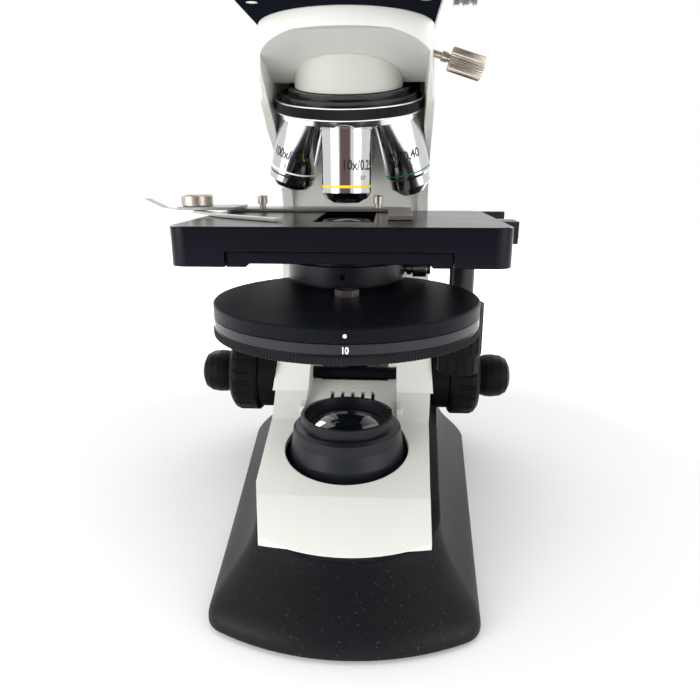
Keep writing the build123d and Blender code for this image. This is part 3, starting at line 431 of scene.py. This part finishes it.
# bands are (paint, start from the shoulder, width); face is the way that the figures look
objectives = {
    "objective_10x": dict(turn=0.0, bands=[("yellowBandEnamel", 26.1, 1.3)], figure="10x/0.25",
                          face=(-0.12, -1, 0)),
    "objective_20x": dict(turn=90.0, bands=[("greenBandEnamel", 26.0, 0.7)], figure="20x/0.40",
                          face=(-0.95, -1, 0)),
    "objective_40x": dict(turn=180.0, bands=[("blueBandEnamel", 25.0, 0.9)], figure="40x/0.65",
                          face=(0.5, 1, 0)),
    "objective_100x": dict(turn=-90.0, bands=[("whiteBandEnamel", 25.2, 0.9), ("blackBandEnamel", 27.4, 0.9)],
                           figure="100x/1.25", face=(-1, -0.5, 0)),
}
marks = {
    "shoulder": 92.7,        # from the cone's apex to the objectives' shoulders
    "radius": 12.3,
    "bandDepth": 0.6,
    "bandProud": 0.06,
    "bandEase": 0.05,
    "bandSegments": 96,
    "figure": dict(size=6.6, along=18.8, skip=0.0),        # skip: radians round from where the figures start
    "small": dict(size=2.6, along=23.4, skip=0.75),
    "smallText": "0.17",
}


def makeObjectiveMarks():
    for name, spec in objectives.items():
        direction = objectiveAxis(math.radians(spec["turn"]))
        r, shoulder = marks["radius"], marks["shoulder"]
        for count, (paint, start, width) in enumerate(spec["bands"]):
            outline = ringOutline(r - marks["bandDepth"], r + marks["bandProud"], shoulder + start,
                                  shoulder + start + width, marks["bandEase"])
            grid = turnedGrid(nose["apex"], direction, outline, marks["bandSegments"])
            gridPiece(f"{name}_band{count}", grid, "nosepiece", paint, closeRows=True, closeColumns=True)
        # engraved figures start where the barrel faces this way and run round to the right
        outward = unit(np.cross(np.cross(direction, spec["face"]), direction))
        side = np.cross(-direction, outward)
        for part, text in (("figure", spec["figure"]), ("small", marks["smallText"])):
            size, along, skip = (marks[part][key] for key in ("size", "along", "skip"))
            begin = math.cos(skip) * outward + math.sin(skip) * side
            wrapText(f"{name}_{part}", text, size, np.asarray(nose["apex"]) + (shoulder + along) * direction,
                     -direction, begin, r, "nosepiece", "figureInk", align="LEFT")


# Phase disc: fine knurl round its lower edge, an index dot on the casing, a figure for each place

phase = {
    "centre": (3.0, -43.5, 0),
    "radius": 59.7,
    "knurlLow": 123.95,
    "knurlHeight": 3.3,
    "front": -86.9,
    "knurlProud": 0.4,
    "knurlDepth": 1.5,
    "knurlEase": 0.3,
    "ribs": 260,
    "ribDepth": 0.35,
    "figures": ["10", "0", "40", "20", "100"],
    "figureZ": 128.5,
    "figureSize": 3.7,
    "dotZ": 135.2,
    "dotRadius": 0.75,
    "dotSunk": 0.3,
    "dotEdge": 0.34,
    "dotTop": 0.36,
    "dotSegments": 24,
}


def makePhaseMarks():
    low, high = phase["knurlLow"], phase["knurlLow"] + phase["knurlHeight"]
    r = phase["radius"] + phase["knurlProud"]
    outline = ringOutline(r - phase["knurlDepth"], r, low, high, phase["knurlEase"])
    grid = turnedGrid(phase["centre"], (0, 0, 1), outline, phase["ribs"] * ribPoints, phase["ribs"],
                      phase["ribDepth"], ringRibbed)
    gridPiece("phaseKnurl", grid, "phase_turret", "knurledBlack", closeRows=True, closeColumns=True)
    middle = phase["centre"][:2]
    for count, text in enumerate(phase["figures"]):
        turn = math.radians(phase["front"] + 360 / len(phase["figures"]) * count)
        wrapText(f"phaseFigure{count}", text, phase["figureSize"], (*middle, phase["figureZ"]), (0, 0, 1),
                 (math.cos(turn), math.sin(turn), 0), phase["radius"], "phase_turret", "whiteFigurePaint")
    turn = math.radians(phase["front"])
    outward = np.array([math.cos(turn), math.sin(turn), 0])
    seat = np.array([*middle, phase["dotZ"]]) + (phase["radius"] - phase["dotSunk"]) * outward
    outline = [(0, 0), (phase["dotRadius"], 0), (phase["dotRadius"], phase["dotEdge"]), (0, phase["dotTop"])]
    grid = turnedGrid(seat, outward, outline, phase["dotSegments"])
    gridPiece("phaseDot", grid, "condenser", "whiteFigurePaint", closeColumns=True)


# Head clamp screw: plain shank and collar, a knob with a straight knurl, nickel plated

clampScrew = {
    "origin": (0, 0, 258.86),
    "direction": (0.9537, 0, -0.3007),
    "outline": [(0, 21.7), (1.6, 21.7), (1.6, 47), (2.0, 47), (2.4, 47.4), (2.4, 49.7), (2.1, 50), (1.9, 50),
                (1.9, 51.2), (4.9, 51.2), (5.5, 51.9), (5.5, 66.9), (4.8, 67.7), (3.6, 67.7), (3.4, 67.4),
                (0, 67.4)],
    "ribbed": (0, 0, 0, 0, 0, 0, 0, 0, 0, 0.3, 1, 1, 0.3, 0, 0, 0),
    "ribs": 30,
    "ribDepth": 0.55,
}


def makeClampScrew():
    spec = clampScrew
    grid = turnedGrid(spec["origin"], spec["direction"], spec["outline"], spec["ribs"] * ribPoints,
                      spec["ribs"], spec["ribDepth"], spec["ribbed"])
    piece = gridPiece("clampScrew", grid, "head_clamp", "warmNickel", closeColumns=True)
    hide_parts("head_clamp_screw")


# Field lens: a smooth polished cap; the condenser's top lens is flatter

lenses = {
    "fieldLensCap": dict(node="field_lens", body="stand", rim=20.8, low=52.0, edge=56.4, top=61.9),
    "condenserTopLens": dict(node="condenser_lens", body="condenser", rim=10.2, low=158.0, edge=167.4,
                             top=169.2),
}
lensRows, lensSegments = 24, 96


def makeLenses():
    for name, spec in lenses.items():
        # cap of a sphere: its radius is (rim squared + rise squared) over twice the rise
        rise = spec["top"] - spec["edge"]
        ball = (spec["rim"] ** 2 + rise ** 2) / (2 * rise)
        radius = spec["rim"] * np.cos(np.linspace(0, np.pi / 2, lensRows))
        height = spec["top"] - ball + np.sqrt(ball ** 2 - radius ** 2)
        outline = [(0, spec["low"]), (spec["rim"], spec["low"]), *zip(radius, height)]
        grid = turnedGrid((0, 0, 0), (0, 0, 1), outline, lensSegments)
        piece = gridPiece(name, grid, spec["body"], "darkLens", closeColumns=True)
        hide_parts(spec["node"])


makeNosepiece()
makeObjectiveMarks()
makePhaseMarks()
makeClampScrew()
makeLenses()
print("nosepiece, objective, phase disc and clamp details made")


# Room: white floor and surroundings, large soft lamps

room = {
    "floorSize": 3.0,
    "floorColour": "#DEDEDE",
    "floorLift": 0.07,       # share of plain white that camera and mirror rays see in the floor
    "plainFrom": 0.22,       # metres from the axis where the floor starts to turn plain white
    "plainTo": 0.5,          # and where it is plain white
    "ambient": 1.08,         # world strength for diffuse light
    "seen": 1.0,             # world strength seen by the camera and in gloss
}


def cameraOrGloss(tree, path):
    # 1 on rays from the camera and on mirror rays, 0 on the rest
    return addNode(tree, "ShaderNodeMath", {
        0: path.outputs["Is Camera Ray"], 1: path.outputs["Is Glossy Ray"],
    }, operation="MAXIMUM").outputs[0]


def makeWorld():
    world = bpy.data.worlds.new("whiteRoom")
    scene.world = world
    world.use_nodes = True
    tree = world.node_tree
    tree.nodes.clear()
    path = addNode(tree, "ShaderNodeLightPath")
    through = addNode(tree, "ShaderNodeMath", {
        0: cameraOrGloss(tree, path), 1: path.outputs["Is Transmission Ray"],
    }, operation="MAXIMUM")
    strength = addNode(tree, "ShaderNodeMapRange", {
        "Value": through.outputs[0], "To Min": room["ambient"], "To Max": room["seen"],
    })
    background = addNode(tree, "ShaderNodeBackground", {
        "Color": (1, 1, 1, 1), "Strength": strength.outputs["Result"],
    })
    addNode(tree, "ShaderNodeOutputWorld", {"Surface": background.outputs["Background"]})


def makeFloor():
    half = room["floorSize"] / 2
    mesh = bpy.data.meshes.new("floor")
    corners = [(-half, -half, 0), (half, -half, 0), (half, half, 0), (-half, half, 0)]
    mesh.from_pydata(corners, [], [(0, 1, 2, 3)])
    floor = bpy.data.objects.new("floor", mesh)
    scene.collection.objects.link(floor)
    material, tree = newMaterial("paperFloor")
    path = addNode(tree, "ShaderNodeLightPath")
    place = addNode(tree, "ShaderNodeTexCoord").outputs["Object"]
    away = addNode(tree, "ShaderNodeVectorMath", {0: place}, operation="LENGTH")
    share = addNode(tree, "ShaderNodeMapRange", {
        "Value": away.outputs["Value"], "From Min": room["plainFrom"], "From Max": room["plainTo"],
        "To Min": room["floorLift"], "To Max": 1.0,
    }, interpolation_type="SMOOTHSTEP")
    lift = addNode(tree, "ShaderNodeMath", {
        0: cameraOrGloss(tree, path), 1: share.outputs["Result"],
    }, operation="MULTIPLY")
    glow = addNode(tree, "ShaderNodeEmission", {"Color": (1, 1, 1, 1), "Strength": lift.outputs[0]})
    paper = addNode(tree, "ShaderNodeBsdfDiffuse", {"Color": linear(room["floorColour"])})
    both = addNode(tree, "ShaderNodeAddShader", {0: glow.outputs[0], 1: paper.outputs[0]})
    addNode(tree, "ShaderNodeOutputMaterial", {"Surface": both.outputs[0]})
    mesh.materials.append(material)


# cards that only gloss sees, as a photographer hangs them: dark ones give chrome its streaks, and two
# bright ones behind show as windows in the lens
flags = {
    "frontFlag": dict(corners=[(-0.52, -1.0, -0.02), (0.40, -1.0, -0.02), (0.40, -1.0, 1.0),
                               (-0.52, -1.0, 1.0)],
                      colour="#7A6261"),
    "ceilingFlag": dict(corners=[(-0.9, -1.0, 1.05), (0.9, -1.0, 1.05), (0.9, 0.1, 1.6), (-0.9, 0.1, 1.6)],
                        colour="#3A3C40"),
    "leftWindow": dict(corners=[(-0.95, 1.1, 0.62), (-0.6, 1.3, 0.62), (-0.6, 1.2, 0.95), (-0.95, 1.0, 0.95)],
                       colour="#FFFFFF", strength=12.0),
    "rightWindow": dict(corners=[(0.98, 1.1, 0.62), (0.64, 1.3, 0.62), (0.64, 1.2, 0.95), (0.98, 1.0, 0.95)],
                        colour="#FFFFFF", strength=12.0),
}


def makeFlags():
    for name, spec in flags.items():
        mesh = bpy.data.meshes.new(name)
        mesh.from_pydata(spec["corners"], [], [(0, 1, 2, 3)])
        card = bpy.data.objects.new(name, mesh)
        scene.collection.objects.link(card)
        material, tree = newMaterial(name)
        glow = addNode(tree, "ShaderNodeEmission", {
            "Color": linear(spec["colour"]), "Strength": spec.get("strength", 1.0),
        })
        addNode(tree, "ShaderNodeOutputMaterial", {"Surface": glow.outputs[0]})
        mesh.materials.append(material)
        card.visible_camera = card.visible_diffuse = card.visible_shadow = card.visible_transmission = False


# place and aim in metres, power in watts; the fills with no gloss don't show in polished surfaces
lamps = {
    "topLamp": dict(place=(0.0, -0.1, 1.3), aim=(0, 0, 0.15), size=(0.9, 0.6), power=1.0),
    "leftLamp": dict(place=(-1.0, -0.75, 0.32), aim=(0, 0, 0.14), size=(0.8, 0.6), power=4.5),
    "rightLamp": dict(place=(1.05, -0.7, 0.32), aim=(0, 0, 0.14), size=(0.8, 0.6), power=3.4),
    "frontLamp": dict(place=(0.0, -0.8, 0.07), aim=(0, 0.06, 0.13), size=(0.8, 0.1), power=0.9, gloss=False),
    "recessFill": dict(place=(-0.3, -0.5, 0.2), aim=(0, 0, 0.23), size=(0.4, 0.25), power=1.3, gloss=False),
    "leftStrip": dict(place=(-0.55, -0.5, 0.62), aim=(0, 0, 0.06), size=(0.05, 0.7), power=0.6),
    "rightStrip": dict(place=(0.6, -0.45, 0.62), aim=(0, 0, 0.06), size=(0.05, 0.7), power=0.6),
}


def makeLamps():
    for name, spec in lamps.items():
        light = bpy.data.lights.new(name, "AREA")
        light.shape = "RECTANGLE"
        light.size, light.size_y = spec["size"]
        light.energy = spec["power"]
        lamp = bpy.data.objects.new(name, light)
        lamp.location = spec["place"]
        towards = Vector(spec["aim"]) - Vector(spec["place"])
        lamp.rotation_euler = towards.to_track_quat("-Z", "Y").to_euler()
        lamp.visible_camera = False
        lamp.visible_glossy = spec.get("gloss", True)
        scene.collection.objects.link(lamp)


camera = {
    "focalPixels": 615.083,      # fitted to straight edges and circles of the photo
    "frame": 700,
    "pitch": 16.405,
    "yaw": 3.642,
    "roll": -0.070,
    "place": (21.887 * mm, -318.762 * mm, 193.681 * mm),
}


def makeCamera():
    data = bpy.data.cameras.new("photoCamera")
    data.sensor_width = 36.0
    data.lens = camera["focalPixels"] / camera["frame"] * data.sensor_width
    data.clip_start, data.clip_end = 0.01, 10
    seat = bpy.data.objects.new("photoCamera", data)
    pitch, yaw = math.radians(camera["pitch"]), math.radians(camera["yaw"])
    forward = Vector((-math.sin(yaw) * math.cos(pitch), math.cos(yaw) * math.cos(pitch), -math.sin(pitch)))
    side = Vector((math.cos(yaw), math.sin(yaw), 0))
    top = side.cross(forward)
    turn = Matrix((side, top, -forward)).transposed().to_4x4()
    seat.matrix_world = Matrix.Translation(camera["place"]) @ turn @ Matrix.Rotation(
        math.radians(camera["roll"]), 4, "Z")
    scene.collection.objects.link(seat)
    scene.camera = seat


makeWorld()
makeFloor()
makeFlags()
makeLamps()
makeCamera()
print("room, lamps and camera made")
